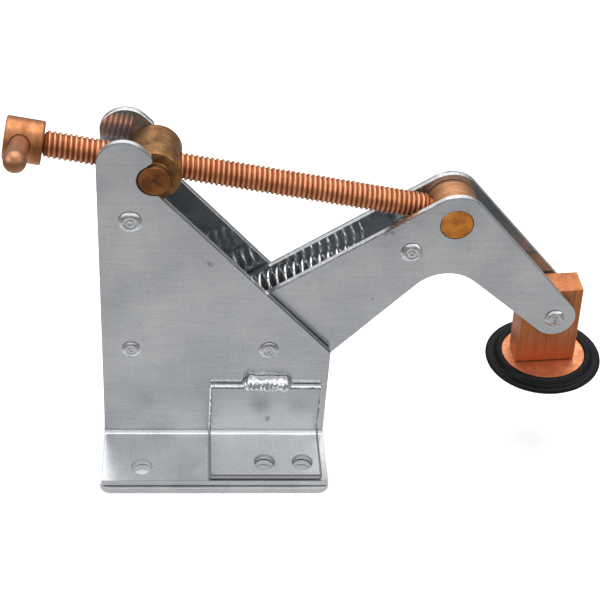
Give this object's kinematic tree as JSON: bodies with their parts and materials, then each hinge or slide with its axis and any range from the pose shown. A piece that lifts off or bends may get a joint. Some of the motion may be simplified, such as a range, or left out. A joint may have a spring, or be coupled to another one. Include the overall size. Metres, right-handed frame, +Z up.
{
  "type": "cantilever hold-down clamp",
  "caption": "Bolt-down hold-down clamp: a bent plate frame, a cranked lever arm driven by a tee-handled screw through a trunnion nut, and a swivelling rubber-faced foot.",
  "frame": {"origin": "middle of the side plates' length, on the plane of symmetry, at the underside of the base plate", "axes": "+X from the heel towards the foot, +Y from the front plate to the rear plate, +Z up off the base"},
  "size_m": [0.2648, 0.094, 0.1655],
  "materials": {
    "base_plate": "bright zinc plate",
    "side_plate_front": "bright zinc plate",
    "side_plate_rear": "bright zinc plate",
    "gusset_front": "bright zinc plate",
    "gusset_rear": "bright zinc plate",
    "weld_front": "bright zinc plate over a rippled weld bead",
    "weld_rear": "bright zinc plate over a rippled weld bead",
    "spacer_upper": "bright zinc plate",
    "spacer_lower": "bright zinc plate",
    "rivet_upper": "bright zinc plate",
    "rivet_lower": "bright zinc plate",
    "fulcrum_pin": "bright zinc plate",
    "return_spring": "bright drawn wire",
    "arm_plate_front": "bright zinc plate",
    "arm_plate_rear": "bright zinc plate",
    "fulcrum_bush": "bare bronze",
    "arm_spacer": "bright zinc plate",
    "arm_rivet": "bright zinc plate",
    "foot_pin": "bright zinc plate",
    "trunnion_nut": "brown bronze, oiled",
    "screw_block": "copper plate",
    "screw_retainer": "bare steel",
    "clamp_screw": "copper plate",
    "screw_head": "copper plate",
    "tee_bar": "copper plate",
    "foot_post": "copper plate over milled faces",
    "foot_disc": "copper plate",
    "foot_bolt": "bare steel",
    "rubber_pad": "black moulded rubber"
  },
  "bodies": {
    "frame": {"base_plate": "base_plate", "side_plate_front": "side_plate_front", "side_plate_rear": "side_plate_rear", "gusset_front": "gusset_front", "gusset_rear": "gusset_rear", "weld_front": "weld_front", "weld_rear": "weld_rear", "spacer_upper": "spacer_upper", "spacer_lower": "spacer_lower", "rivet_upper": "rivet_upper", "rivet_lower": "rivet_lower", "fulcrum_pin": "fulcrum_pin", "return_spring": "return_spring"},
    "arm": {"arm_plate_front": "arm_plate_front", "arm_plate_rear": "arm_plate_rear", "fulcrum_bush": "fulcrum_bush", "arm_spacer": "arm_spacer", "arm_rivet": "arm_rivet", "foot_pin": "foot_pin"},
    "nut": {"trunnion_nut": "trunnion_nut"},
    "block": {"screw_block": "screw_block", "screw_retainer": "screw_retainer"},
    "screw": {"clamp_screw": "clamp_screw", "screw_head": "screw_head"},
    "tee_bar": {"tee_bar": "tee_bar"},
    "foot": {"foot_post": "foot_post", "foot_disc": "foot_disc", "foot_bolt": "foot_bolt", "rubber_pad": "rubber_pad"}
  },
  "joints": [
    {"name": "arm_swing", "type": "hinge", "parent": "frame", "child": "arm", "pos_m": [0.0226, 0, 0.0562], "axis": [0, -1, 0], "range_deg": [-15, 40], "deforming": ["return_spring"]},
    {"name": "nut_swivel", "type": "hinge", "parent": "frame", "child": "nut", "pos_m": [-0.0274, 0, 0.143], "axis": [0, -1, 0], "range_deg": [-9, 21]},
    {"name": "block_swivel", "type": "hinge", "parent": "arm", "child": "block", "pos_m": [0.0977, 0, 0.122], "axis": [0, -1, 0], "range_deg": [-21, 9]},
    {"name": "screw_spin", "type": "hinge", "parent": "block", "child": "screw", "pos_m": [0.0977, 0, 0.122], "axis": [-0.9862, 0, 0.1656], "range_deg": [-3500, 9200]},
    {"name": "tee_slide", "type": "slide", "parent": "screw", "child": "tee_bar", "axis": [0.0484, -0.9563, 0.2883], "range_m": [-0.0206, 0.003]},
    {"name": "foot_swing", "type": "hinge", "parent": "arm", "child": "foot", "pos_m": [0.1486, 0, 0.073], "axis": [0, -1, 0], "range_deg": [-30, 30]}
  ],
  "couplings": [
    {"joint": "nut_swivel", "follows": "arm_swing", "ratio": 0.4975},
    {"joint": "block_swivel", "follows": "arm_swing", "ratio": -0.5025},
    {"joint": "screw_spin", "follows": "arm_swing", "ratio": 229.4}
  ]
}
